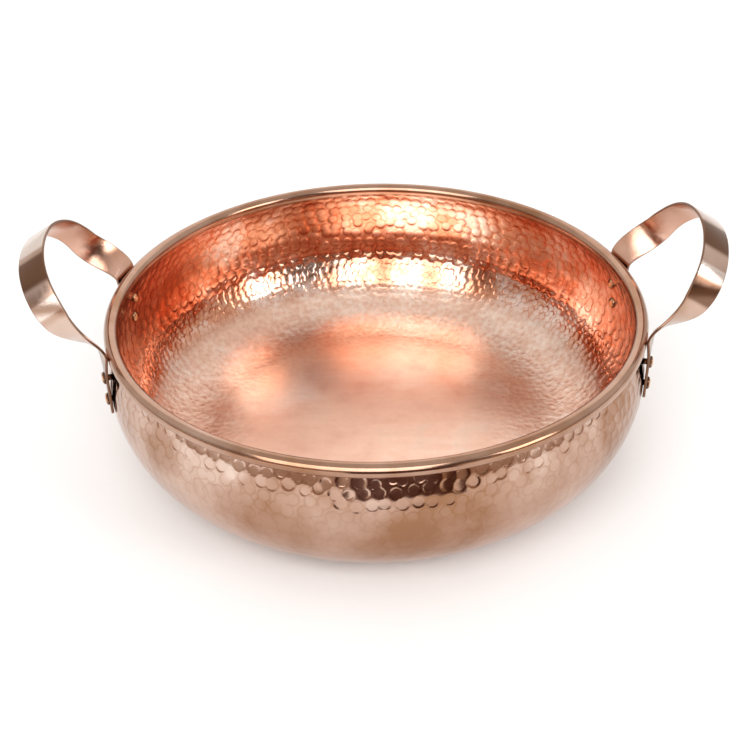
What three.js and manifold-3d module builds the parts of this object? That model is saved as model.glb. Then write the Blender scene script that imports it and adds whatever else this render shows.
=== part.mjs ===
// A shallow hand-hammered copper pan with a wired rim and two riveted strap handles.
// Millimetres, +Z up. The origin is the centre of the flat underside, and the handles lie along X.
import * as THREE from "three";
import { mergeVertices } from "three/addons/utils/BufferGeometryUtils.js";
import Module from "manifold-3d";

const wasm = await Module();
wasm.setup();

const degrees = THREE.MathUtils.degToRad;

// Clear space left between pieces that touch in the real pan.
const gap = 0.3;

// The bowl: one sheet, raised into a flat floor, a round corner and a wall that leans back in at the neck.
const sheetThickness = 1.5;
const floorRadius = 116;
const cornerRadius = 65;
const wallArcRadius = 78;
const neckLean = degrees(26.8);
const bulgeRadius = floorRadius + cornerRadius;
const bulgeHeight = cornerRadius;
const turnSegments = 64;
const cornerSegments = 8;
const wallSegments = 4;

// The rim: the sheet's edge is rolled outwards over a steel wire, and its lip stops just short of the wall.
const wireRadius = 2.8;
const rollInnerRadius = wireRadius + gap;
const rollOuterRadius = rollInnerRadius + sheetThickness;
const rollStart = Math.PI + neckLean;
const rollEnd = degrees(-100);
const rollSegments = 12;
const wireSides = 10;
const rollCentre = new THREE.Vector2(
  bulgeRadius - wallArcRadius + (wallArcRadius + rollInnerRadius) * Math.cos(neckLean),
  bulgeHeight + (wallArcRadius + rollInnerRadius) * Math.sin(neckLean),
);

// Each handle: a flat strap whose two legs stand against the wall's bulge, twist a quarter turn above the
// rivets, and meet in an arch that leans away from the bowl.
const strapWidth = 20;
const strapThickness = 1.8;
const legAngle = degrees(16.2);
const legFootDrop = 42;
const legTopDrop = 0;
const footCornerRadius = 5;
const shoulderStart = 9;
const shoulderEnd = 13;
const archLean = degrees(32);
const archHalfSpan = 52;
const archHeight = 41.5;
const archStart = degrees(10);
const archCentreOut = 196.5;
const archCentreRise = 20;
const twistStartDrop = 15;
const twistLength = 68;
const strapSegments = 96;
const legInnerFace = bulgeRadius + gap;
const legRadius = legInnerFace + strapThickness / 2;

// Two rivets, one above the other, hold each leg.
const rivetDrops = { upper: 18, lower: 34.5 };
const shankRadius = 2;
const holeRadius = shankRadius + gap;
const outerHead = { radius: 4.1, height: 2.1 };
const innerHead = { radius: 3.7, height: 2.2 };
const headRim = 0.5;
const headSegments = 4;
const innerStandOff = 0.9;
const rivetSides = 14;

const copper = { color: 0xc98a68, roughness: 0.28, metalness: 1 };
const darkCopper = { color: 0xa86a48, roughness: 0.35, metalness: 1 };
const steel = { color: 0x8c8c8e, roughness: 0.5, metalness: 1 };

// Points on an arc in the half plane of radius and height, both ends included.
function arcPoints(centre, radius, from, to, segments) {
  const points = [];
  for (let i = 0; i <= segments; i++) {
    const angle = from + ((to - from) * i) / segments;
    points.push(new THREE.Vector2(centre.x + radius * Math.cos(angle), centre.y + radius * Math.sin(angle)));
  }
  return points;
}

// A geometry as a closed solid for cutting, and back again.
function solidOf(geometry) {
  const bare = geometry.clone();
  bare.deleteAttribute("normal");
  bare.deleteAttribute("uv");
  const merged = mergeVertices(bare, 1e-4);
  return new wasm.Manifold(
    new wasm.Mesh({
      numProp: 3,
      vertProperties: new Float32Array(merged.attributes.position.array),
      triVerts: new Uint32Array(merged.index.array),
    }),
  );
}

function geometryOf(solid) {
  const mesh = solid.getMesh();
  const geometry = new THREE.BufferGeometry();
  geometry.setAttribute("position", new THREE.BufferAttribute(new Float32Array(mesh.vertProperties), 3));
  geometry.setIndex(new THREE.BufferAttribute(new Uint32Array(mesh.triVerts), 1));
  geometry.computeVertexNormals();
  return geometry;
}

function latheUp(profile, sides) {
  return new THREE.LatheGeometry(profile, sides).rotateX(Math.PI / 2);
}

function makeMesh(name, geometry, look) {
  const mesh = new THREE.Mesh(geometry, new THREE.MeshStandardMaterial(look));
  mesh.name = name;
  return mesh;
}

// The wall's outer face at a height above its bulge, and how far it leans there.
function wallAt(height) {
  const lean = Math.asin((height - bulgeHeight) / wallArcRadius);
  return { radius: bulgeRadius - wallArcRadius * (1 - Math.cos(lean)), lean };
}

// Half of the bowl's section, from the middle of the underside, round the rolled edge, to the middle of the floor.
function bowlProfile() {
  const cornerCentre = new THREE.Vector2(floorRadius, cornerRadius);
  const wallCentre = new THREE.Vector2(bulgeRadius - wallArcRadius, bulgeHeight);
  const down = -Math.PI / 2;
  return [
    new THREE.Vector2(0, 0),
    ...arcPoints(cornerCentre, cornerRadius, down, 0, cornerSegments),
    ...arcPoints(wallCentre, wallArcRadius, 0, neckLean, wallSegments).slice(1),
    ...arcPoints(rollCentre, rollInnerRadius, rollStart, rollEnd, rollSegments).slice(1),
    ...arcPoints(rollCentre, rollOuterRadius, rollEnd, rollStart, rollSegments),
    ...arcPoints(wallCentre, wallArcRadius - sheetThickness, neckLean, 0, wallSegments).slice(1),
    ...arcPoints(cornerCentre, cornerRadius - sheetThickness, 0, down, cornerSegments).slice(1),
    new THREE.Vector2(0, sheetThickness),
  ];
}

// A round pin along the radius at a leg, long enough to cut through the strap and the wall.
function rivetHole(angle, drop) {
  const length = 40;
  const hole = new THREE.CylinderGeometry(holeRadius, holeRadius, length, rivetSides);
  hole.rotateZ(Math.PI / 2);
  hole.translate(bulgeRadius, 0, rollCentre.y - drop);
  hole.rotateZ(angle);
  return solidOf(hole);
}

function cutRivetHoles(solid, angles) {
  let cut = solid;
  for (const angle of angles) {
    for (const drop of Object.values(rivetDrops)) {
      cut = cut.subtract(rivetHole(angle, drop));
    }
  }
  return cut;
}

function bowl() {
  const shell = solidOf(latheUp(bowlProfile(), turnSegments));
  const legAngles = [legAngle, -legAngle, Math.PI + legAngle, Math.PI - legAngle];
  return makeMesh("bowl", geometryOf(cutRivetHoles(shell, legAngles)), copper);
}

function rimWire() {
  const section = arcPoints(rollCentre, wireRadius, 0, 2 * Math.PI, wireSides);
  section[wireSides].copy(section[0]);
  return makeMesh("rim_wire", latheUp(section, turnSegments), steel);
}

// The arch's middle line: part of an ellipse in a plane that leans out by archLean.
class LeaningArch extends THREE.Curve {
  getPoint(t, target = new THREE.Vector3()) {
    const angle = archStart + (Math.PI - 2 * archStart) * t;
    const rise = archHeight * Math.sin(angle);
    return target.set(
      archCentreOut + rise * Math.sin(archLean),
      -archHalfSpan * Math.cos(angle),
      rollCentre.y + archCentreRise + rise * Math.cos(archLean),
    );
  }
}

// The strap's middle line on one handle: up the near leg, over the arch and down the far leg.
function strapPath() {
  const side = (sign) => {
    const out = legRadius * Math.cos(legAngle);
    const across = sign * legRadius * Math.sin(legAngle);
    const foot = new THREE.Vector3(out, across, rollCentre.y - legFootDrop);
    const top = new THREE.Vector3(out, across, rollCentre.y - legTopDrop);
    return { foot, top, above: top.clone().add(new THREE.Vector3(0, 0, shoulderStart)) };
  };
  const near = side(-1);
  const far = side(1);
  const arch = new LeaningArch();
  const nearHandle = arch.getPoint(0).addScaledVector(arch.getTangent(0), -shoulderEnd);
  const farHandle = arch.getPoint(1).addScaledVector(arch.getTangent(1), shoulderEnd);
  const path = new THREE.CurvePath();
  path.add(new THREE.LineCurve3(near.foot, near.top));
  path.add(new THREE.CubicBezierCurve3(near.top, near.above, nearHandle, arch.getPoint(0)));
  path.add(arch);
  path.add(new THREE.CubicBezierCurve3(arch.getPoint(1), farHandle, far.above, far.top));
  path.add(new THREE.LineCurve3(far.top, far.foot));
  return path;
}

// The direction across the strap at a distance along it: along the rim on the legs, square to the arch above.
function acrossStrap(distance, length, tangent) {
  const fromFoot = Math.min(distance, length - distance);
  const turned = THREE.MathUtils.smoothstep(fromFoot - (legFootDrop - twistStartDrop), 0, twistLength);
  const sign = distance < length / 2 ? 1 : -1;
  const onLeg = new THREE.Vector3(Math.sin(legAngle), sign * Math.cos(legAngle), 0);
  const onArch = new THREE.Vector3(Math.cos(archLean), 0, -Math.sin(archLean));
  const across = onLeg.multiplyScalar(Math.cos((turned * Math.PI) / 2));
  across.addScaledVector(onArch, Math.sin((turned * Math.PI) / 2));
  return across.addScaledVector(tangent, -across.dot(tangent)).normalize();
}

// How much of the strap's width is left near a leg's foot, where its two corners are rounded.
function footWidth(distance, length) {
  const fromFoot = Math.min(distance, length - distance, footCornerRadius);
  const inset = footCornerRadius - Math.sqrt(footCornerRadius ** 2 - (footCornerRadius - fromFoot) ** 2);
  return (strapWidth / 2 - inset) / (strapWidth / 2);
}

// A flat blank, bent along the path.
function strapGeometry() {
  const path = strapPath();
  const length = path.getLength();
  const blank = new THREE.BoxGeometry(strapThickness, strapWidth, 1, 1, 1, strapSegments);
  const corner = blank.attributes.position;
  const place = new THREE.Vector3();
  for (let i = 0; i < corner.count; i++) {
    const share = corner.getZ(i) + 0.5;
    const distance = share * length;
    const tangent = path.getTangent(share);
    const across = acrossStrap(distance, length, tangent);
    const face = new THREE.Vector3().crossVectors(across, tangent);
    place.copy(path.getPoint(share));
    place.addScaledVector(face, corner.getX(i));
    place.addScaledVector(across, corner.getY(i) * footWidth(distance, length));
    corner.setXYZ(i, place.x, place.y, place.z);
  }
  return blank;
}

function handle(name) {
  return makeMesh(name, geometryOf(cutRivetHoles(solidOf(strapGeometry()), [legAngle, -legAngle])), copper);
}

// A domed head's outline on one end of a rivet, from the shank out to the middle of the dome.
function headOutline(seat, head, sign) {
  const points = [new THREE.Vector2(shankRadius, seat), new THREE.Vector2(head.radius, seat)];
  for (let i = 0; i < headSegments; i++) {
    const angle = (Math.PI / 2) * (i / headSegments);
    const rise = headRim + (head.height - headRim) * Math.sin(angle);
    points.push(new THREE.Vector2(head.radius * Math.cos(angle), seat + sign * rise));
  }
  points.push(new THREE.Vector2(0, seat + sign * head.height));
  return points;
}

// A rivet from its head inside the bowl to its head outside the strap, along +X. The heads stand off the
// faceted sheet by a little.
function rivetGeometry(height) {
  const wall = wallAt(height);
  const wallInside = wall.radius - sheetThickness / Math.cos(wall.lean);
  const innerSeat = wallInside - innerHead.radius * Math.tan(wall.lean) - innerStandOff;
  const outerSeat = legInnerFace + strapThickness + gap;
  const profile = [
    ...headOutline(innerSeat, innerHead, -1).reverse(),
    ...headOutline(outerSeat, outerHead, 1),
  ];
  return new THREE.LatheGeometry(profile, rivetSides).rotateZ(-Math.PI / 2);
}

function rivet(name, angle, drop) {
  const height = rollCentre.y - drop;
  const mesh = makeMesh(name, rivetGeometry(height), darkCopper);
  mesh.position.z = height;
  mesh.rotation.z = angle;
  return mesh;
}

// One handle with its four rivets, turned about the bowl's axis. The front leg is the one towards -Y.
function handleSet(side, turn, frontAngle) {
  const set = new THREE.Group();
  set.add(handle("handle_" + side));
  const legs = { front: frontAngle, back: -frontAngle };
  for (const [leg, angle] of Object.entries(legs)) {
    for (const [level, drop] of Object.entries(rivetDrops)) {
      set.add(rivet(["rivet", side, leg, level].join("_"), angle, drop));
    }
  }
  set.rotation.z = turn;
  return set;
}

function pan() {
  const group = new THREE.Group();
  group.add(bowl());
  group.add(rimWire());
  group.add(handleSet("right", 0, -legAngle));
  group.add(handleSet("left", Math.PI, legAngle));
  return group;
}

export default pan();
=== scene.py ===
"""The looks of the hammered copper pan.

It is a planished bowl with a wired rim, two smooth strap handles and eight rivets.

Lengths are in millimetres until a mesh or an object is made, which is in metres.
The lamps are given in metres.
"""

from math import cos, degrees, pi, radians, sin

import bpy
import numpy as np
from mathutils import Matrix, Vector


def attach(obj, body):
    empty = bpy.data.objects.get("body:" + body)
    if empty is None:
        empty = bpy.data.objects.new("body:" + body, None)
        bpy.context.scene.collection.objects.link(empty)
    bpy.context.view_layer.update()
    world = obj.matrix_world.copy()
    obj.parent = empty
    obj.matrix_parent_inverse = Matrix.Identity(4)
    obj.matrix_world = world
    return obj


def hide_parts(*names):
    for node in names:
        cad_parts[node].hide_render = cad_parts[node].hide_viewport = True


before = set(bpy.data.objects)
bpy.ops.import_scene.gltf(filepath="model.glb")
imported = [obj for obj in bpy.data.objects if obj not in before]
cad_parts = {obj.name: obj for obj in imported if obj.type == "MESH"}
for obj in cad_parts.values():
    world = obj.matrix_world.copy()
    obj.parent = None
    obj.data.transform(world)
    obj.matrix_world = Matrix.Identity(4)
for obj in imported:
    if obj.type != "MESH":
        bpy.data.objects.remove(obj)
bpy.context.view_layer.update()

METRES = 0.001

# The sheet and the bowl's section, as in the CAD model.
GAP = 0.3
SHEET = 1.5
FLOOR_RADIUS = 116
CORNER_RADIUS = 65
WALL_ARC_RADIUS = 78
NECK_LEAN = radians(26.8)
BULGE_RADIUS = FLOOR_RADIUS + CORNER_RADIUS
BULGE_HEIGHT = CORNER_RADIUS
ROLL_INNER = 3.1
ROLL_OUTER = ROLL_INNER + SHEET
ROLL_OUT = BULGE_RADIUS - WALL_ARC_RADIUS + (WALL_ARC_RADIUS + ROLL_INNER) * cos(NECK_LEAN)
ROLL_UP = BULGE_HEIGHT + (WALL_ARC_RADIUS + ROLL_INNER) * sin(NECK_LEAN)
ROLL_START = pi + NECK_LEAN
ROLL_END = radians(-102)
# The lip has a point of its own, this small turn before the rest of the roll.
LIP_TURN = 1e-6

# The strap handles, as in the CAD model.
STRAP_WIDTH = 20
STRAP_THICKNESS = 1.8
LEG_ANGLE = radians(16.2)
LEG_RADIUS = BULGE_RADIUS + GAP + STRAP_THICKNESS / 2
LEG_FOOT_DROP = 42
FOOT_CORNER = 5
SHOULDER_START = 9
SHOULDER_END = 13
ARCH_LEAN = radians(32)
ARCH_HALF_SPAN = 52
ARCH_HEIGHT = 41.5
ARCH_START = radians(10)
ARCH_OUT = 196.5
ARCH_RISE = 20
TWIST_START = 27
TWIST_LENGTH = 68
SIDE_TURNS = {"right": 0, "left": pi}
FRONT_LEGS = {"right": -LEG_ANGLE, "left": LEG_ANGLE}

# The rivets, as in the CAD model.
RIVET_DROPS = {"upper": 18, "lower": 34.5}
SHANK_RADIUS = 2
OUTER_HEAD = {"radius": 4.1, "height": 2.1}
INNER_HEAD = {"radius": 3.7, "height": 2.2}

# The bowl's mesh: columns round the turn, and the distance between rings on each stretch of the section.
# Fans close it inside HUB_RADIUS. FLOOR_SET_BACK keeps the floor's outermost ring off the corner's last one.
COLUMNS = 900
HUB_RADIUS = 4
FLOOR_SET_BACK = 2.4
STEPS = {
    "underside": 9,
    "outer corner": 2.0,
    "outer wall": 1.3,
    "roll's hollow": 1.6,
    "roll": 1.0,
    "inner wall": 1.25,
    "inner corner": 1.4,
    "floor": 2.6,
}
OUTSIDE, RIM, INSIDE = 0, 1, 2

# The hammer marks. The cove is the inside of the round corner, below COVE_TOP.
# MARK_SHARE is a mark's radius as a share of the pitch, and MARK_SPREAD is how far it strays from its place.
WALL_PITCH = 8.8
COVE_PITCH = 5.8
COVE_TOP = 40
ROW_SHARE = 0.864
MARK_SHARE = 0.49
MARK_SPREAD = 0.13
SMALLEST_MARK = 0.88
LARGEST_MARK = 1.12
FEWEST_MARKS = 8
MARK_SEEDS = {"outside": 11, "inside": 23, "cove": 31}
# Values where the sheet has no marks, and the distance that every real one is nearer than.
NO_MARK_REACH = 4.0
MIDDLE_FACET = 0.5
FAR_FROM_MARKS = 9.0
# A dent reaches the sheet's own surface where the reach times this is 1.
DENT_SHARE = 0.85

# How deep the marks are, and the radii or heights between which they fade in or out.
OUTSIDE_LOW_DEPTH = 0.12
OUTSIDE_HIGH_DEPTH = 0.26
WALL_DEPTH = 0.2
COVE_DEPTH = 0.15
FLOOR_DEPTH = 0.05
UNDERSIDE_FADE = (70, 125)
LOW_WALL_SHARE = 0.35
LOW_WALL_FADE = (30, 58)
HIGH_WALL_FADE = (60, 84)
OUTSIDE_TOP_FADE = (ROLL_UP - 4.5, ROLL_UP - 2.5)
INSIDE_TOP_FADE = (ROLL_UP - 5, ROLL_UP - 2)
FLOOR_EDGE_FADE = (155, 168)
FLOOR_DENT_SHARE = 0.15
FLOOR_DENT_FADE = (70, 145)
# The marks' tint is partly patina and partly painted shade and painted reflection.
LOW_TINT_SHARE = 0.3
COVE_TINT_SHARE = 0.5
COVE_TINT_FADE = (100, 130)

# A patch is at full strength up to PATCH_CORE times its spread, and gone at PATCH_EDGE times it.
PATCH_CORE = 0.35
PATCH_EDGE = 1.65
RIM_TONE = -0.5
# Patches where the colour is paler (above 0) or deeper, as (angle in degrees, height, spread, strength).
# These are painted reflections and painted shade, partly patina. The pale row low in the cove is a painted
# highlight.
INSIDE_PATINA_AND_REFLECTION_PATCHES = (
    (80, 80, 20, 0.6),
    (62, 78, 16, 0.6),
    (129, 82, 20, 0.7),
    (36, 90, 16, 0.5),
    (106, 78, 22, -1.0),
    (152, 62, 34, -0.8),
    (8, 78, 24, -0.5),
    (25, 52, 17, 0.95),
    (232, 70, 40, 0.4),
    (292, 60, 40, -0.6),
    (34, 70, 26, 0.3),
    (12, 58, 30, 0.4),
    (66, 27, 14, 0.6),
    (80, 27, 14, 0.6),
    (94, 27, 14, 0.6),
    (108, 27, 14, 0.6),
    (121, 27, 14, 0.6),
)
# The outside's patches are painted reflections and painted shade, partly patina.
OUTSIDE_PATINA_AND_REFLECTION_PATCHES = (
    (-76, 62, 34, -1.0),
    (-88, 36, 30, -0.6),
    (-28, 54, 46, -1.0),
    (-37, 80, 16, -1.0),
    (-138, 77, 14, -0.9),
    (-112, 62, 22, -0.35),
    (-119, 90, 8, 0.9),
    (-60, 88, 8, 0.5),
    (20, 50, 40, 0.4),
    (60, 70, 36, -0.7),
    (100, 50, 40, 0.3),
    (150, 74, 34, -0.6),
)
# The same round each rivet, as painted shade.
RIVET_SHADE_SPREAD = 5
RIVET_SHADE_STRENGTH = -0.9
# Patches of the floor and cove, as (angle in degrees, distance from the middle, spread, strength).
# These are painted reflections and painted shade on the floor and cove, partly patina.
FLOOR_PATINA_AND_REFLECTION_PATCHES = (
    (144, 102, 36, 1.0),
    (76, 95, 44, 1.0),
    (108, 108, 40, 0.4),
    (40, 138, 46, 0.7),
    (206, 45, 60, -0.4),
    (62, 165, 26, -0.3),
)

# The straps' meshes and their small waves.
LEG_POINTS = 41
SHOULDER_POINTS = 60
ARCH_POINTS = 161
STRAP_RINGS = 320
STRAP_EDGE = 0.45
EDGE_POINTS = 5
WAVE_SEEDS = {"right": 5, "left": 6}
WAVE_HEIGHT = 0.12
WAVE_NUMBERS = range(3, 9)
WAVE_FADE = (45, 70)
# The largest random phase, in radians, of the straps' waves and the rivets' lobes.
MOST_PHASE = 6

# Bands across the strap's outer face, as (place along the strap, half width, strength): painted reflections.
STRAP_REFLECTION_BANDS = {
    "right": ((150, 8, 0.4), (128, 12, -1.0), (100, 4, 0.9), (87, 8, -0.9)),
    "left": ((148, 13, 0.8), (177, 11, -1.0), (203, 5, 0.8), (222, 10, 0.3)),
}
# A band is at full strength up to BAND_CORE times its half width, and gone at BAND_EDGE times it.
BAND_CORE = 0.8
BAND_EDGE = 1.15
# The legs are deep in colour up to where this fade ends, by distance from the foot.
LEG_TONE = -0.9
LEG_TONE_FADE = (34, 46)

# The rivets' meshes. The lobes are how far a head is from round, as shares of its radius.
RIVET_SIDES = 40
DOME_POINTS = 14
HEAD_INSET = 0.25
HEAD_RIM = 0.35
RISE_POWER = 0.9
WIDTH_POWER = 0.8
TIP_RADIUS = 0.02
# The shank runs between the two seats, give or take the slack. Points less than LEANING_REACH outside the
# wall's inner face lean with the wall.
SEAT_SLACK = 0.01
LEANING_REACH = 1
TWO_LOBES = 0.02
THREE_LOBES = 0.015

# Colours of the sheet's outside, its inner wall and its floor: plain, deep and pale.
# Deep and pale carry the tone's painted shade and painted reflections.
# The inner wall and floor are redder and paler than the outside, partly as patina and partly as painted
# reflection of the copper round them.
PLAIN = {"outside": (0.5, 0.32, 0.24), "wall": (0.69, 0.32, 0.195), "floor": (0.82, 0.54, 0.41)}
DEEP = {"outside": (0.33, 0.165, 0.09), "wall": (0.42, 0.1, 0.04), "floor": (0.66, 0.37, 0.27)}
PALE = {"outside": (0.74, 0.57, 0.48), "wall": (0.97, 0.82, 0.74), "floor": (0.99, 0.83, 0.71)}
STAIN = (0.4, 0.2, 0.12)
# The strap's inner face is redder and paler than its outer face: a painted reflection of the copper bowl it
# faces.
STRAP_INNER = ((0.78, 0.49, 0.38), (0.6, 0.31, 0.2))
STRAP_OUTER = ((0.62, 0.44, 0.36), (0.46, 0.29, 0.2))
STRAP_DEEP = (0.17, 0.085, 0.05)
STRAP_PALE = (0.95, 0.81, 0.73)
# Painted shade on the strap's rounded edges.
STRAP_EDGE_SHADE = (0.2, 0.1, 0.06)
# A rivet head goes from a dark rim, painted shade, to a pale crown, which is wear and a painted highlight.
RIVET_RIM_SHADE = (0.13, 0.055, 0.03)
RIVET_CROWN_WEAR_AND_HIGHLIGHT = (0.85, 0.52, 0.3)
STEEL = ((0.5, 0.5, 0.52), (0.3, 0.28, 0.27))

# Noises, as (scale, detail) or (scale, detail, roughness).
CLOUDS = (12, 3)
BLOTCHES = (45, 3, 0.6)
STREAKS = (1, 4, 0.6)
STREAK_STRETCH = (14, 110, 20)
DENTS = (330, 2, 0.6)
DENT_CELLS = 230
FINE_GRAIN = (900, 2)
STRAP_CLOUDS = (30, 3)
STRAP_LINES = (1, 3, 0.7)
RIVET_GRIME = (600, 3)
STEEL_GRAIN = (700, 3)

# How far each of these moves the sheet's tone, either way.
CLOUD_TONE = 0.45
BLOTCH_TONE = 0.3
STREAK_TONE = 0.16
DENT_TONE = 0.3
FACET_TONE = 0.2

# The line round a hammer mark, by distance from its middle in mark radii: where it fades in and out.
# The line is partly patina and partly painted shade. A mark's own shade is partly painted reflection.
LINE_FADE_IN = (0.72, 0.9)
LINE_FADE_OUT = (0.98, 1.12)
LINE_TONES = (0.08, -0.3)
# The raised ridge between marks, the same way, and how much each layer of relief counts.
RIDGE_FADE = (0.62, 1.0)
RIDGE_RELIEF = 0.5
DENT_RELIEF = 0.2
GRAIN_RELIEF = 0.004

# How rough each metal is, from its smoothest to its roughest places. The floor is duller by FLOOR_ROUGHNESS.
SHEET_ROUGHNESS = (0.12, 0.18)
FLOOR_ROUGHNESS = 0.18
STRAP_ROUGHNESS = (0.08, 0.16)
RIVET_ROUGHNESS = (0.12, 0.25)
STEEL_ROUGHNESS = (0.35, 0.5)
# Bump heights in metres.
STRAP_BUMP = 0.00006
RIVET_BUMP = 0.0002
STEEL_BUMP = 0.00005

# Most values of a noise texture lie between these.
NOISE_LOW = 0.3
NOISE_HIGH = 0.7

# The studio. Each lamp is (azimuth, elevation, distance, width, height, watts), in degrees and metres.
FLOOR_HALF = 4000
FLOOR_DROP = 0.2
BACKDROP_RADIUS = 3900
BACKDROP_SIDES = 64
BACKDROP_BOTTOM = -1
LAMPS = {
    "light_window": (-14, 38, 3.2, 3.6, 2.4, 88),
    "light_side": (57, 25, 3.4, 1.2, 1.4, 26),
    "light_behind": (180, 33, 3.6, 4.4, 2.6, 20),
}
LAMP_AIM_HEIGHT = 0.06
ROOM_DIM = (0.14, 0.11, 0.095)
ROOM_LIGHT = (0.84, 0.82, 0.8)
CARD_STEPS = 24
CARD_BOTTOM = 3

# The camera looks down at the rim from in front.
CAMERA_AIM_HEIGHT = 102.18
CAMERA_DISTANCE = 810
CAMERA_ELEVATION = radians(31.245)
CAMERA_BEARING = radians(1.127)
CAMERA_TILT = radians(-3.376)
CAMERA_PAN = radians(0.0885)
CAMERA_ROLL = radians(-1.062)
CAMERA_LENS = 57.83
SENSOR = 36


# ---------------------------------------------------------------- the section

def arc(centre, radius, start, end, step):
    """Points of an arc, as (out, up, normal out, normal up), about step apart. The first one is left out."""
    count = max(2, round(abs(end - start) * radius / step))
    angles = np.linspace(start, end, count + 1)[1:]
    out = centre[0] + radius * np.cos(angles)
    up = centre[1] + radius * np.sin(angles)
    return np.column_stack([out, up, np.cos(angles), np.sin(angles)])


def flat(start, end, up, step, facing):
    """Points along the flat floor, with normals straight up or down."""
    count = max(2, round(abs(end - start) / step))
    rows = np.zeros((count + 1, 4))
    rows[:, 0] = np.linspace(start, end, count + 1)
    rows[:, 1] = up
    rows[:, 3] = facing
    return rows


def turned_in(rows):
    """The same points with their normals reversed, for the hollow side of an arc."""
    rows[:, 2:] *= -1
    return rows


def bowl_section():
    """The sheet's outline from the middle of the underside, over the rim, to the middle of the floor."""
    corner = (FLOOR_RADIUS, CORNER_RADIUS)
    wall = (BULGE_RADIUS - WALL_ARC_RADIUS, BULGE_HEIGHT)
    roll = (ROLL_OUT, ROLL_UP)
    outside = [
        flat(HUB_RADIUS, FLOOR_RADIUS, 0, STEPS["underside"], -1),
        arc(corner, CORNER_RADIUS, -pi / 2, 0, STEPS["outer corner"]),
        arc(wall, WALL_ARC_RADIUS, 0, NECK_LEAN, STEPS["outer wall"]),
    ]
    rim = [
        turned_in(arc(roll, ROLL_INNER, ROLL_START, ROLL_END, STEPS["roll's hollow"])),
        arc(roll, ROLL_OUTER, ROLL_END, ROLL_END + LIP_TURN, STEPS["roll"])[:1],
        arc(roll, ROLL_OUTER, ROLL_END + LIP_TURN, ROLL_START, STEPS["roll"]),
    ]
    inside = [
        turned_in(arc(wall, WALL_ARC_RADIUS - SHEET, NECK_LEAN, 0, STEPS["inner wall"])),
        turned_in(arc(corner, CORNER_RADIUS - SHEET, 0, -pi / 2, STEPS["inner corner"])),
        flat(FLOOR_RADIUS - FLOOR_SET_BACK, HUB_RADIUS, SHEET, STEPS["floor"], 1),
    ]
    faces = [np.vstack(outside), np.vstack(rim), np.vstack(inside)]
    face = np.repeat([OUTSIDE, RIM, INSIDE], [len(rows) for rows in faces])
    return np.vstack(faces), face


def run_length(rows):
    """How far along the outline each of its points lies."""
    steps = np.hypot(np.diff(rows[:, 0]), np.diff(rows[:, 1]))
    return np.concatenate([[0], np.cumsum(steps)])


def smooth_step(low, high, value):
    share = np.clip((value - low) / (high - low), 0, 1)
    return share * share * (3 - 2 * share)


# ---------------------------------------------------------------- marks and colour patches

def hammer_marks(along, radius, turn, pitch, seed):
    """The squared distance to the nearest mark's middle, in mark radii, and that mark's number from 0 to 1.

    The marks lie in rings round the bowl, each mark a little out of place and a little larger or smaller.
    """
    chance = np.random.default_rng(seed)
    ring_step = pitch * ROW_SHARE
    rings = int(np.ceil(along.max() / ring_step)) + 2
    ring_radius = np.interp(np.arange(rings) * ring_step, along, radius)
    counts = np.maximum(FEWEST_MARKS, np.round(2 * pi * ring_radius / pitch)).astype(int)
    most = counts.max() + 2
    shift_turn = chance.normal(0, MARK_SPREAD, (rings, most))
    shift_along = chance.normal(0, MARK_SPREAD, (rings, most))
    size = chance.uniform(SMALLEST_MARK, LARGEST_MARK, (rings, most))
    shade = chance.uniform(0, 1, (rings, most))
    phase = chance.uniform(0, 1, rings)
    nearest = np.full((len(along), len(turn)), FAR_FROM_MARKS)
    facet = np.full((len(along), len(turn)), MIDDLE_FACET)
    home = np.round(along / ring_step).astype(int)
    for row in (-1, 0, 1):
        ring = np.clip(home + row, 0, rings - 1)[:, None]
        count = counts[ring]
        place = turn[None, :] / (2 * pi) * count - phase[ring]
        for column in (-1, 0, 1):
            number = np.round(place).astype(int) + column
            mark = number % count
            away_turn = (place - number - shift_turn[ring, mark]) / count
            away_turn = away_turn * 2 * pi * radius[:, None] / pitch
            away_along = along[:, None] / ring_step - ring - shift_along[ring, mark]
            away_along = away_along * ROW_SHARE
            distance = np.hypot(away_turn, away_along) / size[ring, mark]
            facet = np.where(distance < nearest, shade[ring, mark], facet)
            nearest = np.minimum(nearest, distance)
    return (nearest / MARK_SHARE) ** 2, facet


def one_patch(away, spread_out, strength):
    return strength * (1 - smooth_step(PATCH_CORE * spread_out, PATCH_EDGE * spread_out, away))


def wall_patches(turn, out, up, places):
    """How pale (above 0) or deep the colour is at each point, from a list of soft round patches."""
    tone = np.zeros((len(out), len(turn)))
    for angle, height, spread_out, strength in places:
        round_the_wall = (turn - radians(angle) + pi) % (2 * pi) - pi
        away = np.hypot(round_the_wall[None, :] * out[:, None], (up - height)[:, None])
        tone += one_patch(away, spread_out, strength)
    return np.clip(tone, -1, 1)


def floor_patches(turn, out):
    """The same for the floor and cove, by distance in plan."""
    tone = np.zeros((len(out), len(turn)))
    across = out[:, None] * np.cos(turn)
    ahead = out[:, None] * np.sin(turn)
    for angle, distance, spread_out, strength in FLOOR_PATINA_AND_REFLECTION_PATCHES:
        middle = (distance * cos(radians(angle)), distance * sin(radians(angle)))
        away = np.hypot(across - middle[0], ahead - middle[1])
        tone += one_patch(away, spread_out, strength)
    return tone


def rivet_shade_patches():
    """A deep patch round each rivet, as painted shade."""
    places = []
    for turn in SIDE_TURNS.values():
        for leg in FRONT_LEGS.values():
            for drop in RIVET_DROPS.values():
                places.append((degrees(turn + leg), ROLL_UP - drop, RIVET_SHADE_SPREAD, RIVET_SHADE_STRENGTH))
    return places


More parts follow.
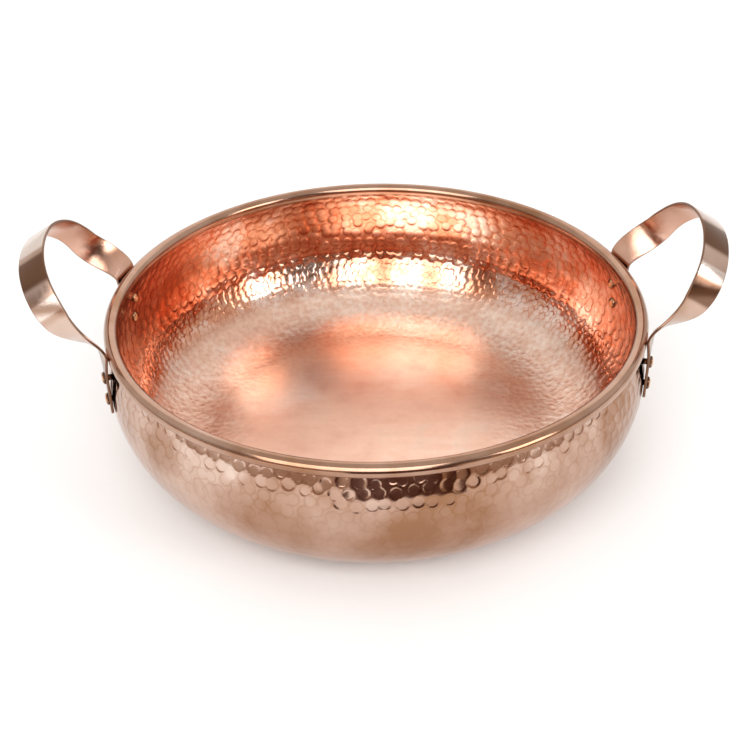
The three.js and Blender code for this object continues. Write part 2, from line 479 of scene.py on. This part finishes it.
def sheet_marks(turn, along, out, up, face):
    """The hammer marks of the whole sheet: the reach of each point from its mark, and its mark's number."""
    reach = np.full((len(out), len(turn)), NO_MARK_REACH)
    facet = np.full((len(out), len(turn)), MIDDLE_FACET)
    stretches = (
        (face == OUTSIDE, WALL_PITCH, MARK_SEEDS["outside"]),
        (face == INSIDE, WALL_PITCH, MARK_SEEDS["inside"]),
        ((face == INSIDE) & (up < COVE_TOP), COVE_PITCH, MARK_SEEDS["cove"]),
    )
    for here, pitch, seed in stretches:
        start = along[here].min()
        reach[here], facet[here] = hammer_marks(along[here] - start, out[here], turn, pitch, seed)
    return reach, facet


def sheet_tone(turn, out, up, face):
    """How pale (above 0) or deep the whole sheet's colour is: painted reflections and painted shade, partly
    patina.
    """
    tone = np.full((len(out), len(turn)), RIM_TONE)
    for side, places in ((OUTSIDE, OUTSIDE_PATINA_AND_REFLECTION_PATCHES), (INSIDE, INSIDE_PATINA_AND_REFLECTION_PATCHES)):
        here = face == side
        tone[here] = wall_patches(turn, out[here], up[here], places)
    low = (face == INSIDE) & (up < COVE_TOP)
    tone[low] += floor_patches(turn, out[low])
    tone = np.clip(tone, -1, 1)
    for side in (OUTSIDE, INSIDE):
        here = face == side
        # Painted shade round the rivets.
        tone[here] += wall_patches(turn, out[here], up[here], rivet_shade_patches())
    return tone


def sheet_layers(out, up, face):
    """What each ring of the sheet is: floor or wall, how deep its marks are, and how much they tint it."""
    outside = (face == OUTSIDE) * smooth_step(*UNDERSIDE_FADE, out)
    outside *= LOW_WALL_SHARE + (1 - LOW_WALL_SHARE) * smooth_step(*LOW_WALL_FADE, up)
    outside *= 1 - smooth_step(*OUTSIDE_TOP_FADE, up)
    floor = (face == INSIDE) * (1 - smooth_step(*FLOOR_EDGE_FADE, out))
    wall = (face == INSIDE) * (1 - floor) * (1 - smooth_step(*INSIDE_TOP_FADE, up))
    dents = floor * (FLOOR_DENT_SHARE + (1 - FLOOR_DENT_SHARE) * smooth_step(*FLOOR_DENT_FADE, out))
    high = smooth_step(*HIGH_WALL_FADE, up)
    outside_depth = OUTSIDE_LOW_DEPTH + (OUTSIDE_HIGH_DEPTH - OUTSIDE_LOW_DEPTH) * high
    wall_depth = np.where(up < COVE_TOP, COVE_DEPTH, WALL_DEPTH)
    outside_tint = outside * (LOW_TINT_SHARE + (1 - LOW_TINT_SHARE) * high)
    cove_tint = COVE_TINT_SHARE * dents * smooth_step(*COVE_TINT_FADE, out)
    return {
        "floor": floor,
        "wall": wall,
        "dents": dents,
        "depth": outside * outside_depth + wall * wall_depth + dents * FLOOR_DEPTH,
        "marked": outside_tint + wall + cove_tint,
    }


# ---------------------------------------------------------------- meshes

def grid_faces(rows, columns):
    """Quads between neighbouring rings of points, closed round the turn."""
    row, column = np.meshgrid(np.arange(rows - 1), np.arange(columns), indexing="ij")
    after = (column + 1) % columns
    here = row * columns
    above = here + columns
    return np.stack([here + column, here + after, above + after, above + column], axis=-1).reshape(-1, 4)


def turned(points, angle):
    """The points turned about the bowl's axis."""
    return points @ np.array([[cos(angle), sin(angle), 0], [-sin(angle), cos(angle), 0], [0, 0, 1]])


def mesh_piece(name, points, faces, material):
    """A smooth-shaded object from points in millimetres."""
    mesh = bpy.data.meshes.new(name)
    mesh.from_pydata((np.asarray(points) * METRES).tolist(), [], [list(map(int, f)) for f in faces])
    mesh.validate()
    mesh.polygons.foreach_set("use_smooth", [True] * len(mesh.polygons))
    mesh.materials.append(material)
    piece = bpy.data.objects.new(name, mesh)
    bpy.context.scene.collection.objects.link(piece)
    return piece


def set_attribute(piece, name, values):
    layer = piece.data.attributes.new(name, "FLOAT", "POINT")
    layer.data.foreach_set("value", np.asarray(values, np.float32))


def sheet_points(rows, turn, reach, depth):
    """The section turned round the axis, sunk along its normal where a mark is."""
    out, up, normal_out, normal_up = (column[:, None] for column in rows.T)
    dent = 1 - np.clip(reach * DENT_SHARE, 0, 1)
    sink = -dent * depth[:, None]
    ring_out = out + normal_out * sink
    ring_up = up + normal_up * sink
    return np.stack([ring_out * np.cos(turn), ring_out * np.sin(turn), ring_up], axis=-1).reshape(-1, 3)


def sheet_faces(rows):
    """The quads of the sheet, and the two fans that close it at the axis."""
    faces = grid_faces(rows, COLUMNS).tolist()
    bottom = rows * COLUMNS
    top = bottom + 1
    last = (rows - 1) * COLUMNS
    for i in range(COLUMNS):
        after = (i + 1) % COLUMNS
        faces.append([bottom, after, i])
        faces.append([top, last + i, last + after])
    return faces


def bowl(material):
    rows, face = bowl_section()
    turn = np.linspace(0, 2 * pi, COLUMNS, endpoint=False)
    along = run_length(rows)
    out, up = rows[:, 0], rows[:, 1]
    reach, facet = sheet_marks(turn, along, out, up, face)
    tone = sheet_tone(turn, out, up, face)
    layers = sheet_layers(out, up, face)
    points = sheet_points(rows, turn, reach, layers["depth"])
    points = np.vstack([points, [0, 0, 0], [0, 0, SHEET]])
    piece = mesh_piece("bowl_sheet", points, sheet_faces(len(rows)), material)
    set_attribute(piece, "reach", np.append(reach, [NO_MARK_REACH, NO_MARK_REACH]))
    set_attribute(piece, "facet", np.append(facet, [MIDDLE_FACET, MIDDLE_FACET]))
    set_attribute(piece, "tone", np.append(tone, [tone[0, 0], tone[-1].mean()]))
    for name, values in layers.items():
        set_attribute(piece, name, np.append(np.repeat(values, COLUMNS), [values[0], values[-1]]))
    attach(piece, "root")
    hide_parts("bowl")


def bezier(a, b, c, d, count):
    t = np.linspace(0, 1, count + 1)[:, None]
    return (1 - t) ** 3 * a + 3 * (1 - t) ** 2 * t * b + 3 * (1 - t) * t ** 2 * c + t ** 3 * d


def arch_points(angles):
    rise = ARCH_HEIGHT * np.sin(angles)
    return np.column_stack([
        ARCH_OUT + rise * sin(ARCH_LEAN),
        -ARCH_HALF_SPAN * np.cos(angles),
        ROLL_UP + ARCH_RISE + rise * cos(ARCH_LEAN),
    ])


def unit(vectors):
    return vectors / np.linalg.norm(vectors, axis=-1, keepdims=True)


def strap_line():
    """The strap's middle line, from the front foot over the arch to the back foot."""
    arch = arch_points(np.linspace(ARCH_START, pi - ARCH_START, ARCH_POINTS))
    leaving = unit(arch[1] - arch[0])
    foot = np.array([LEG_RADIUS * cos(LEG_ANGLE), -LEG_RADIUS * sin(LEG_ANGLE), ROLL_UP - LEG_FOOT_DROP])
    top = foot + [0, 0, LEG_FOOT_DROP]
    leg = np.linspace(foot, top, LEG_POINTS)
    above_leg = top + [0, 0, SHOULDER_START]
    below_arch = arch[0] - SHOULDER_END * leaving
    shoulder = bezier(top, above_leg, below_arch, arch[0], SHOULDER_POINTS)
    front = np.vstack([leg[:-1], shoulder[:-1]])
    back = front[::-1] * [1, -1, 1]
    return np.vstack([front, arch, back])


def resample(line, count):
    """Evenly spaced points on a line, and how far along it they are."""
    steps = np.linalg.norm(np.diff(line, axis=0), axis=1)
    along = np.concatenate([[0], np.cumsum(steps)])
    at = np.linspace(0, along[-1], count)
    return np.column_stack([np.interp(at, along, line[:, k]) for k in range(3)]), at


def strap_section():
    """The strap's cross-section: a flat bar with rounded edges, as (across, through) pairs."""
    points = []
    for corner, start in (((1, 1), 0), ((-1, 1), pi / 2), ((-1, -1), pi), ((1, -1), 1.5 * pi)):
        for angle in np.linspace(start, start + pi / 2, EDGE_POINTS):
            across = corner[0] * (STRAP_WIDTH / 2 - STRAP_EDGE) + STRAP_EDGE * cos(angle)
            through = corner[1] * (STRAP_THICKNESS / 2 - STRAP_EDGE) + STRAP_EDGE * sin(angle)
            points.append((across, through))
    return np.array(points)


def strap_directions(line, at, from_foot):
    """Unit vectors across the strap and through it. It makes a quarter turn between each leg and the arch."""
    tangent = unit(np.gradient(line, axis=0))
    turned_by = smooth_step(0, TWIST_LENGTH, from_foot - TWIST_START)[:, None] * pi / 2
    sign = np.where(at < at[-1] / 2, 1, -1)
    on_leg = np.column_stack([np.full(len(at), sin(LEG_ANGLE)), sign * cos(LEG_ANGLE), np.zeros(len(at))])
    on_arch = np.array([cos(ARCH_LEAN), 0, -sin(ARCH_LEAN)])
    across = on_leg * np.cos(turned_by) + on_arch * np.sin(turned_by)
    across = unit(across - tangent * np.sum(across * tangent, axis=1)[:, None])
    return across, np.cross(across, tangent)


def strap_waves(side, at, from_foot):
    """Small uneven waves along the strap, as it was bent by hand. They fade out towards the legs."""
    chance = np.random.default_rng(WAVE_SEEDS[side])
    waves = np.zeros(len(at))
    for number in WAVE_NUMBERS:
        height = chance.normal(0, WAVE_HEIGHT)
        phase = chance.uniform(0, MOST_PHASE)
        waves += height * np.sin(at / at[-1] * 2 * pi * number + phase)
    return waves * smooth_step(*WAVE_FADE, from_foot)


def foot_widths(from_foot):
    """The strap's width as a share of its full width, narrower at the rounded corners of its feet."""
    near_foot = np.minimum(from_foot, FOOT_CORNER)
    inset = FOOT_CORNER - np.sqrt(np.maximum(FOOT_CORNER ** 2 - (FOOT_CORNER - near_foot) ** 2, 0))
    return (STRAP_WIDTH / 2 - inset) / (STRAP_WIDTH / 2)


def strap_tone(side, at, from_foot, section):
    """Deep (below 0) on the legs, with deep and pale bands across the outer face that are painted
    reflections.
    """
    bands = np.zeros(len(at))
    for place, half, strength in STRAP_REFLECTION_BANDS[side]:
        bands += strength * (1 - smooth_step(BAND_CORE * half, BAND_EDGE * half, np.abs(at - place)))
    legs = LEG_TONE * (1 - smooth_step(*LEG_TONE_FADE, from_foot))
    on_outer = section[:, 1] > 0
    return np.clip(bands[:, None] * on_outer[None, :] + legs[:, None], -1, 1)


def handle(side, material):
    line, at = resample(strap_line(), STRAP_RINGS)
    from_foot = np.minimum(at, at[-1] - at)
    across, through = strap_directions(line, at, from_foot)
    waves = strap_waves(side, at, from_foot)
    widths = foot_widths(from_foot)
    section = strap_section()
    sides = len(section)
    rings = [
        line[i] + across[i] * section[:, :1] * widths[i] + through[i] * (section[:, 1:] + waves[i])
        for i in range(len(at))
    ]
    points = np.vstack(rings)
    faces = [face[::-1] for face in grid_faces(len(at), sides).tolist()]
    faces.append(list(range(sides)))
    faces.append(list(range(len(points) - 1, len(points) - sides - 1, -1)))
    piece = mesh_piece(f"handle_{side}_strap", turned(points, SIDE_TURNS[side]), faces, material)
    set_attribute(piece, "tone", strap_tone(side, at, from_foot, section).ravel())
    set_attribute(piece, "outer_face", np.tile((section[:, 1] > 0).astype(float), len(at)))
    set_attribute(piece, "along", np.repeat(at, sides))
    set_attribute(piece, "across", np.tile(section[:, 0], len(at)))
    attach(piece, "root")
    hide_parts(f"handle_{side}")


def dome(seat, head, sign):
    """Half outline of a domed rivet head, as (along the pin, out from its axis)."""
    rows = [(seat, SHANK_RADIUS), (seat, head["radius"] - HEAD_INSET)]
    for angle in np.linspace(0, pi / 2, DOME_POINTS)[:-1]:
        rise = HEAD_RIM + (head["height"] - HEAD_RIM) * sin(angle) ** RISE_POWER
        rows.append((seat + sign * rise, head["radius"] * cos(angle) ** WIDTH_POWER))
    rows.append((seat + sign * head["height"], TIP_RADIUS))
    return rows


def rivet(side, leg, level, angle, material):
    """A rivet through the strap and the sheet. Its inner head leans with the wall."""
    height = ROLL_UP - RIVET_DROPS[level]
    lean = np.arcsin((height - BULGE_HEIGHT) / WALL_ARC_RADIUS)
    wall = BULGE_RADIUS - WALL_ARC_RADIUS * (1 - cos(lean)) - SHEET / cos(lean)
    outer_seat = BULGE_RADIUS + GAP + STRAP_THICKNESS
    inner_seat = wall + GAP
    pin = np.array(dome(inner_seat, INNER_HEAD, -1)[::-1] + dome(outer_seat, OUTER_HEAD, 1))
    turn = np.linspace(0, 2 * pi, RIVET_SIDES, endpoint=False)
    chance = np.random.default_rng(round(height + 10 * angle))
    two_lobes = TWO_LOBES * np.sin(2 * turn + chance.uniform(0, MOST_PHASE))
    three_lobes = THREE_LOBES * np.sin(3 * turn + chance.uniform(0, MOST_PHASE))
    uneven = 1 + two_lobes + three_lobes
    x = np.repeat(pin[:, 0], RIVET_SIDES).reshape(-1, RIVET_SIDES)
    y = pin[:, 1][:, None] * np.cos(turn) * uneven
    z = pin[:, 1][:, None] * np.sin(turn) * uneven
    tip = np.where(x < wall + LEANING_REACH, lean, 0.0)
    x_tilted = wall + (x - wall) * np.cos(tip) + z * np.sin(tip)
    z_tilted = z * np.cos(tip) - (x - wall) * np.sin(tip)
    points = np.stack([x_tilted, y, z_tilted + height], axis=-1).reshape(-1, 3)
    faces = grid_faces(len(pin), RIVET_SIDES).tolist()
    faces.append(list(range(RIVET_SIDES))[::-1])
    faces.append(list(range(len(points) - RIVET_SIDES, len(points))))
    name = "_".join(["rivet", side, leg, level])
    piece = mesh_piece(name + "_pin", turned(points, angle), faces, material)
    # The crown value grows to 1 at a head's middle, for wear and a painted highlight. On the shank it is 0,
    # the dark rim colour, as painted shade.
    on_shank = (pin[:, 0] > inner_seat - SEAT_SLACK) & (pin[:, 0] < outer_seat + SEAT_SLACK)
    crown = np.where(on_shank, 0, 1 - pin[:, 1] / OUTER_HEAD["radius"])
    set_attribute(piece, "crown", np.repeat(crown, RIVET_SIDES))
    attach(piece, "root")
    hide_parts(name)


# ---------------------------------------------------------------- shader nodes

def new_material(name):
    material = bpy.data.materials.new(name)
    material.use_nodes = True
    tree = material.node_tree
    tree.nodes.clear()
    output = tree.nodes.new("ShaderNodeOutputMaterial")
    shader = tree.nodes.new("ShaderNodeBsdfPrincipled")
    tree.links.new(shader.outputs["BSDF"], output.inputs["Surface"])
    return material, tree, shader


def new_metal(name):
    material, tree, shader = new_material(name)
    shader.inputs["Metallic"].default_value = 1
    return material, tree, shader


def object_place(tree):
    return tree.nodes.new("ShaderNodeTexCoord").outputs["Object"]


def attribute(tree, name):
    node = tree.nodes.new("ShaderNodeAttribute")
    node.attribute_name = name
    return node.outputs["Fac"]


def noise(tree, vector, scale, detail=2.0, roughness=0.5):
    node = tree.nodes.new("ShaderNodeTexNoise")
    node.inputs["Scale"].default_value = scale
    node.inputs["Detail"].default_value = detail
    node.inputs["Roughness"].default_value = roughness
    tree.links.new(vector, node.inputs["Vector"])
    return node.outputs["Fac"]


def cells(tree, vector, scale):
    """Distance to the middle of the nearest of many small uneven cells."""
    node = tree.nodes.new("ShaderNodeTexVoronoi")
    node.inputs["Scale"].default_value = scale
    tree.links.new(vector, node.inputs["Vector"])
    return node.outputs["Distance"]


def stretch(tree, vector, scale):
    node = tree.nodes.new("ShaderNodeMapping")
    node.inputs["Scale"].default_value = scale
    tree.links.new(vector, node.inputs["Vector"])
    return node.outputs["Vector"]


def math_node(tree, kind, a, b=0.0):
    node = tree.nodes.new("ShaderNodeMath")
    node.operation = kind
    for socket, value in zip(node.inputs, (a, b)):
        if isinstance(value, (int, float)):
            socket.default_value = value
        else:
            tree.links.new(value, socket)
    return node.outputs[0]


def add(tree, a, b):
    return math_node(tree, "ADD", a, b)


def times(tree, a, b):
    return math_node(tree, "MULTIPLY", a, b)


def spread(tree, value, low, high, to_low, to_high, smooth=False):
    """The value taken from the range low to high onto the range to_low to to_high."""
    node = tree.nodes.new("ShaderNodeMapRange")
    if smooth:
        node.interpolation_type = "SMOOTHSTEP"
    for key, number in (("From Min", low), ("From Max", high), ("To Min", to_low), ("To Max", to_high)):
        node.inputs[key].default_value = number
    tree.links.new(value, node.inputs["Value"])
    return node.outputs["Result"]


def noise_between(tree, value, to_low, to_high):
    return spread(tree, value, NOISE_LOW, NOISE_HIGH, to_low, to_high)


def blend_colours(tree, share, first, second):
    node = tree.nodes.new("ShaderNodeMix")
    node.data_type = "RGBA"
    tree.links.new(share, node.inputs["Factor"])
    for socket, value in ((node.inputs[6], first), (node.inputs[7], second)):
        if isinstance(value, tuple):
            socket.default_value = (*value, 1)
        else:
            tree.links.new(value, socket)
    return node.outputs[2]


def toned(tree, tone, plain, deep, pale):
    """The plain colour, going to deep where the tone is -1 and to pale where it is 1."""
    colour = blend_colours(tree, spread(tree, tone, 0, -1, 0, 1), plain, deep)
    return blend_colours(tree, spread(tree, tone, 0, 1, 0, 1), colour, pale)


def bumped(tree, shader, height, distance):
    node = tree.nodes.new("ShaderNodeBump")
    node.inputs["Distance"].default_value = distance
    tree.links.new(height, node.inputs["Height"])
    tree.links.new(node.outputs["Normal"], shader.inputs["Normal"])


# ---------------------------------------------------------------- materials of the pan

def mark_patina_and_painted_light(tree, edge):
    """Each hammer mark's own shade, with a deeper line along its edge: partly patina, partly painted
    reflection and painted shade.
    """
    line = math_node(
        tree,
        "SUBTRACT",
        spread(tree, edge, *LINE_FADE_IN, 0, 1, smooth=True),
        spread(tree, edge, *LINE_FADE_OUT, 0, 1, smooth=True),
    )
    shade = spread(tree, attribute(tree, "facet"), 0, 1, -FACET_TONE, FACET_TONE)
    return add(tree, shade, spread(tree, line, 0, 1, *LINE_TONES))


def sheet_colour(tree, colours, floor, wall):
    """One colour for the outside, one for the inner wall and one for the floor."""
    shade = blend_colours(tree, floor, colours["outside"], colours["floor"])
    return blend_colours(tree, wall, shade, colours["wall"])


def sheet_tones(tree, clouds, blotches, small_dents, edge, floor, dents):
    """The sheet's tone of painted reflections, painted shade and patina, with clouds, blotches, hammer marks,
    streaks and small dents added.
    """
    streaks = noise(tree, stretch(tree, object_place(tree), STREAK_STRETCH), *STREAKS)
    by_streak = noise_between(tree, streaks, -STREAK_TONE, STREAK_TONE)
    by_dent = spread(tree, small_dents, 0.6, 1.4, -DENT_TONE, DENT_TONE)
    tone = add(tree, attribute(tree, "tone"), noise_between(tree, clouds, -CLOUD_TONE, CLOUD_TONE))
    tone = add(tree, tone, noise_between(tree, blotches, -BLOTCH_TONE, BLOTCH_TONE))
    tone = add(tree, tone, times(tree, mark_patina_and_painted_light(tree, edge), attribute(tree, "marked")))
    tone = add(tree, tone, times(tree, by_streak, floor))
    return add(tree, tone, times(tree, by_dent, dents))


def sheet_relief(tree, small_dents, edge, dents):
    """The ridges between hammer marks, the small dents and a fine grain, in millimetres."""
    ridges = times(tree, spread(tree, edge, *RIDGE_FADE, 0, 1, smooth=True), RIDGE_RELIEF)
    relief = times(tree, ridges, attribute(tree, "depth"))
    relief = add(tree, relief, times(tree, times(tree, small_dents, dents), DENT_RELIEF))
    fine = noise(tree, object_place(tree), *FINE_GRAIN)
    return add(tree, relief, times(tree, fine, GRAIN_RELIEF))


def hammered_copper():
    material, tree, shader = new_metal("hammered_copper")
    place = object_place(tree)
    clouds = noise(tree, place, *CLOUDS)
    blotches = noise(tree, place, *BLOTCHES)
    small_dents = add(tree, noise(tree, place, *DENTS), cells(tree, place, DENT_CELLS))
    floor = attribute(tree, "floor")
    wall = attribute(tree, "wall")
    dents = attribute(tree, "dents")
    edge = math_node(tree, "SQRT", attribute(tree, "reach"))
    tone = sheet_tones(tree, clouds, blotches, small_dents, edge, floor, dents)
    plain, deep, pale = (sheet_colour(tree, colours, floor, wall) for colours in (PLAIN, DEEP, PALE))
    colour = toned(tree, tone, plain, deep, pale)
    colour = blend_colours(tree, spread(tree, blotches, 0.5, 0.8, 0, 0.3), colour, STAIN)
    tree.links.new(colour, shader.inputs["Base Color"])
    rough = add(tree, noise_between(tree, blotches, *SHEET_ROUGHNESS), times(tree, floor, FLOOR_ROUGHNESS))
    tree.links.new(rough, shader.inputs["Roughness"])
    bumped(tree, shader, sheet_relief(tree, small_dents, edge, dents), METRES)
    return material


def strap_copper():
    material, tree, shader = new_metal("strap_copper")
    clouds = spread(tree, noise(tree, object_place(tree), *STRAP_CLOUDS), 0.35, 0.7, 0, 1)
    along = attribute(tree, "along")
    across = attribute(tree, "across")
    # The inner face's colour holds a painted reflection of the bowl.
    inner = blend_colours(tree, clouds, *STRAP_INNER)
    outer = blend_colours(tree, clouds, *STRAP_OUTER)
    colour = blend_colours(tree, attribute(tree, "outer_face"), inner, outer)
    colour = toned(tree, attribute(tree, "tone"), colour, STRAP_DEEP, STRAP_PALE)
    # Painted shade on the strap's rounded edges.
    from_middle = math_node(tree, "ABSOLUTE", across)
    edge = spread(tree, from_middle, STRAP_WIDTH / 2 - 0.7, STRAP_WIDTH / 2 - 0.3, 0, 0.85)
    colour = blend_colours(tree, edge, colour, STRAP_EDGE_SHADE)
    tree.links.new(colour, shader.inputs["Base Color"])
    join = tree.nodes.new("ShaderNodeCombineXYZ")
    tree.links.new(times(tree, along, 0.06), join.inputs[0])
    tree.links.new(times(tree, across, 3.0), join.inputs[1])
    lines = noise(tree, join.outputs[0], *STRAP_LINES)
    tree.links.new(noise_between(tree, lines, *STRAP_ROUGHNESS), shader.inputs["Roughness"])
    bumped(tree, shader, lines, STRAP_BUMP)
    return material


def rivet_copper():
    material, tree, shader = new_metal("rivet_copper")
    grime = noise(tree, object_place(tree), *RIVET_GRIME)
    crown = add(tree, attribute(tree, "crown"), noise_between(tree, grime, -0.2, 0.2))
    colour = blend_colours(tree, spread(tree, crown, 0.05, 0.45, 0, 1), RIVET_RIM_SHADE, RIVET_CROWN_WEAR_AND_HIGHLIGHT)
    tree.links.new(colour, shader.inputs["Base Color"])
    tree.links.new(noise_between(tree, grime, *RIVET_ROUGHNESS), shader.inputs["Roughness"])
    bumped(tree, shader, grime, RIVET_BUMP)
    return material


def wire_steel():
    material, tree, shader = new_metal("wire_steel")
    grain = noise(tree, object_place(tree), *STEEL_GRAIN)
    tree.links.new(blend_colours(tree, grain, *STEEL), shader.inputs["Base Color"])
    tree.links.new(noise_between(tree, grain, *STEEL_ROUGHNESS), shader.inputs["Roughness"])
    bumped(tree, shader, grain, STEEL_BUMP)
    return material


# ---------------------------------------------------------------- studio

def paper(name, scale, first, second, roughness):
    """A dull material with a faint grain."""
    material, tree, shader = new_material(name)
    grain = noise(tree, object_place(tree), scale, 3)
    tree.links.new(blend_colours(tree, grain, first, second), shader.inputs["Base Color"])
    shader.inputs["Roughness"].default_value = roughness
    return material, shader


def studio_floor():
    material, shader = paper("studio_paper", 60, (0.95, 0.95, 0.95), (0.97, 0.97, 0.97), 0.9)
    shader.inputs["Specular IOR Level"].default_value = 0.1
    corners = [(x * FLOOR_HALF, y * FLOOR_HALF, 0) for x, y in ((-1, -1), (1, -1), (1, 1), (-1, 1))]
    floor = mesh_piece("studio_floor", corners, [[0, 1, 2, 3]], material)
    floor.location.z = -FLOOR_DROP * METRES


def card(name, radius, start, end, height, material, near=None):
    """An upright curved card in front of the bowl, which the sheet reflects. It may have a lying part."""
    angles = np.radians(np.linspace(start, end, CARD_STEPS + 1))
    rings = [(radius, CARD_BOTTOM), (radius, height)]
    if near:
        rings.insert(0, (near, CARD_BOTTOM))
    points = [(out * sin(angle), -out * cos(angle), up) for out, up in rings for angle in angles]
    faces = []
    for ring in range(len(rings) - 1):
        for i in range(CARD_STEPS):
            first = ring * len(angles) + i
            above = first + len(angles)
            faces.append([first, first + 1, above + 1, above])
    board = mesh_piece(name, points, faces, material)
    board.visible_camera = False
    board.visible_shadow = False
    board.visible_diffuse = False


def studio_cards():
    brown, _ = paper("studio_brown_card", 200, (0.44, 0.32, 0.25), (0.52, 0.39, 0.31), 0.95)
    dark, _ = paper("studio_dark_card", 200, (0.09, 0.03, 0.02), (0.14, 0.055, 0.035), 0.95)
    card("studio_card_wide", 1150, -80, 75, 330, brown)
    card("studio_card_dark", 900, -11, 25, 290, dark, near=455)


def backdrop():
    """A tall pale wall round the studio floor, which only the camera sees."""
    material, tree, shader = new_material("studio_backdrop")
    grain = noise(tree, object_place(tree), 3, 3)
    colour = blend_colours(tree, grain, (0.9, 0.9, 0.9), (0.93, 0.93, 0.93))
    tree.links.new(colour, shader.inputs["Emission Color"])
    shader.inputs["Emission Strength"].default_value = 1
    shader.inputs["Base Color"].default_value = (0, 0, 0, 1)
    shader.inputs["Roughness"].default_value = 1
    angles = np.linspace(0, 2 * pi, BACKDROP_SIDES, endpoint=False)
    ring = [(BACKDROP_RADIUS * cos(angle), BACKDROP_RADIUS * sin(angle)) for angle in angles]
    points = [(x, y, up) for up in (BACKDROP_BOTTOM, BACKDROP_RADIUS) for x, y in ring]
    wall = mesh_piece("studio_backdrop", points, grid_faces(2, BACKDROP_SIDES).tolist(), material)
    wall.visible_shadow = False
    wall.visible_diffuse = False
    wall.visible_glossy = False


def studio_world():
    """A plain room: dim near the horizon in front, lighter above, behind and at the sides."""
    world = bpy.data.worlds.new("studio_room")
    world.use_nodes = True
    tree = world.node_tree
    tree.nodes.clear()
    output = tree.nodes.new("ShaderNodeOutputWorld")
    sky = tree.nodes.new("ShaderNodeBackground")
    tree.links.new(sky.outputs[0], output.inputs[0])
    split = tree.nodes.new("ShaderNodeSeparateXYZ")
    tree.links.new(tree.nodes.new("ShaderNodeTexCoord").outputs["Generated"], split.inputs[0])
    sides = times(tree, math_node(tree, "ABSOLUTE", split.outputs[0]), 0.3)
    behind = times(tree, split.outputs[1], 0.8)
    above = times(tree, split.outputs[2], 0.95)
    light = add(tree, add(tree, behind, above), sides)
    colour = blend_colours(tree, spread(tree, light, -0.1, 0.75, 0, 1), ROOM_DIM, ROOM_LIGHT)
    tree.links.new(colour, sky.inputs["Color"])
    bpy.context.scene.world = world


def soft_light(name, azimuth, elevation, distance, width, height, watts):
    """A rectangular soft light that faces the bowl. Azimuth 0 is the camera's side, 90 the right."""
    bearing = radians(azimuth)
    rise = radians(elevation)
    away = Vector((sin(bearing) * cos(rise), -cos(bearing) * cos(rise), sin(rise)))
    light = bpy.data.lights.new(name, "AREA")
    light.shape = "RECTANGLE"
    light.size = width
    light.size_y = height
    light.energy = watts
    lamp = bpy.data.objects.new(name, light)
    lamp.location = away * distance + Vector((0, 0, LAMP_AIM_HEIGHT))
    lamp.rotation_euler = away.to_track_quat("Z", "Y").to_euler()
    lamp.visible_camera = False
    bpy.context.scene.collection.objects.link(lamp)


def camera():
    aim = Vector((0, 0, CAMERA_AIM_HEIGHT)) * METRES
    away = Vector((
        -cos(CAMERA_ELEVATION) * sin(CAMERA_BEARING),
        -cos(CAMERA_ELEVATION) * cos(CAMERA_BEARING),
        sin(CAMERA_ELEVATION),
    ))
    right = (-away).cross(Vector((0, 0, 1))).normalized()
    up = away.cross(right)
    axes = Matrix((right, up, away)).transposed()
    turn = Matrix.Rotation(CAMERA_TILT, 3, "X") @ Matrix.Rotation(CAMERA_PAN, 3, "Y")
    turn = turn @ Matrix.Rotation(CAMERA_ROLL, 3, "Z")
    place = aim + away * CAMERA_DISTANCE * METRES
    data = bpy.data.cameras.new("camera")
    data.lens = CAMERA_LENS
    data.sensor_width = SENSOR
    viewer = bpy.data.objects.new("camera", data)
    viewer.matrix_world = Matrix.LocRotScale(place, (axes @ turn).to_quaternion(), None)
    bpy.context.scene.collection.objects.link(viewer)
    bpy.context.scene.camera = viewer


# ---------------------------------------------------------------- the scene

def pan():
    bowl(hammered_copper())
    strap = strap_copper()
    pin = rivet_copper()
    for side, turn in SIDE_TURNS.items():
        handle(side, strap)
        for leg, angle in (("front", FRONT_LEGS[side]), ("back", -FRONT_LEGS[side])):
            for level in RIVET_DROPS:
                rivet(side, leg, level, turn + angle, pin)
    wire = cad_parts["rim_wire"]
    wire.data.materials.clear()
    wire.data.materials.append(wire_steel())


def studio():
    studio_floor()
    studio_world()
    for name, facts in LAMPS.items():
        soft_light(name, *facts)
    studio_cards()
    backdrop()
    bpy.context.scene.view_settings.view_transform = "Standard"


pan()
studio()
camera()
